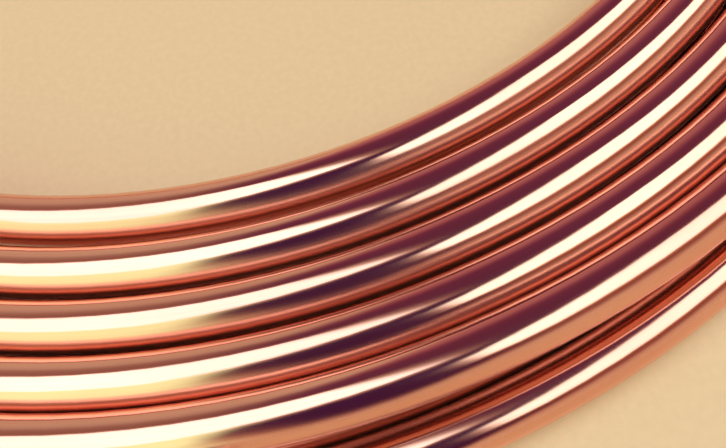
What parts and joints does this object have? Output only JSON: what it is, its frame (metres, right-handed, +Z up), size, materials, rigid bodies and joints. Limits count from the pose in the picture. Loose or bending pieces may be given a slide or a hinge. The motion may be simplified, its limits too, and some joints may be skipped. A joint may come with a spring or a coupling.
{
  "type": "copper tube coil",
  "caption": "Flat coil of bright copper tube wound in two layers round an open eye, with both square-cut ends outside.",
  "frame": {"origin": "on the floor plane, under the centre of the coil's bounding box", "axes": "+Z up through the coil's eye, -Y towards the viewer of the picture, +X to the viewer's right"},
  "size_m": [0.9036, 0.9068, 0.045],
  "materials": {
    "copper": "bright drawn copper"
  },
  "bodies": {
    "root": {"tube_coil": "copper"}
  },
  "joints": []
}
